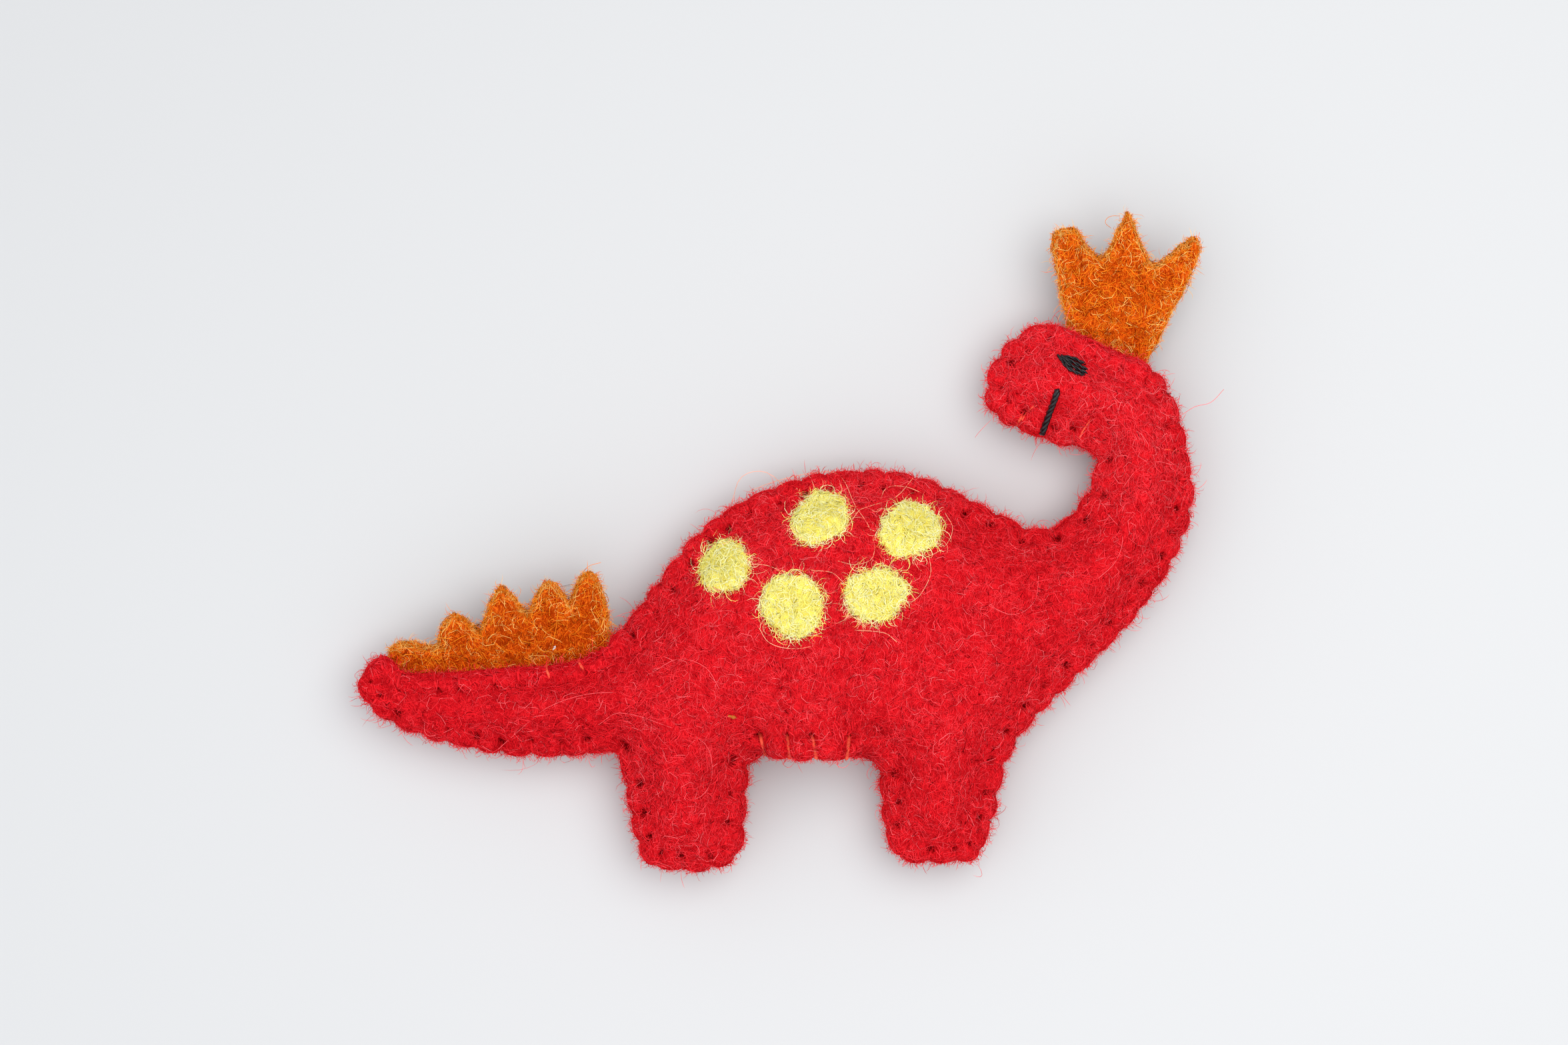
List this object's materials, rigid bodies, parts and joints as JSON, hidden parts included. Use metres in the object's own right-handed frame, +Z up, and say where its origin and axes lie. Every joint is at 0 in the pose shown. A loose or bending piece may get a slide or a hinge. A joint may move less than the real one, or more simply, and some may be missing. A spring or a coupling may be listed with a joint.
{
  "type": "finger puppet",
  "caption": "Soft felt long-necked dinosaur that fits over a finger, with a crown, tail spikes and round spots.",
  "frame": {"origin": "middle of the base of the bounding box, on the surface that the puppet's back panel lies on", "axes": "+X from the tail to the neck, +Y from the feet to the crown, +Z up out of the front panel"},
  "size_m": [0.1148, 0.0904, 0.0179],
  "materials": {
    "red_felt": "matt, fibrous",
    "orange_felt": "matt, fibrous",
    "yellow_wool": "matt, fibrous",
    "black_thread": "satin thread",
    "red_thread": "matt thread",
    "stuffing_wool": "matt, loose"
  },
  "bodies": {
    "root": {"front_panel": "red_felt", "back_panel": "red_felt", "crown": "orange_felt", "tail_spikes": "orange_felt", "seam_thread": "red_thread", "front_hem_thread": "red_thread", "back_hem_thread": "red_thread", "front_spot_1": "yellow_wool", "front_spot_2": "yellow_wool", "front_spot_3": "yellow_wool", "front_spot_4": "yellow_wool", "front_spot_5": "yellow_wool", "back_spot_1": "yellow_wool", "back_spot_2": "yellow_wool", "back_spot_3": "yellow_wool", "back_spot_4": "yellow_wool", "back_spot_5": "yellow_wool", "front_eye": "black_thread", "back_eye": "black_thread", "front_mouth": "black_thread", "back_mouth": "black_thread", "neck_stuffing": "stuffing_wool", "tail_stuffing": "stuffing_wool", "hind_leg_stuffing": "stuffing_wool", "fore_leg_stuffing": "stuffing_wool"}
  },
  "joints": []
}
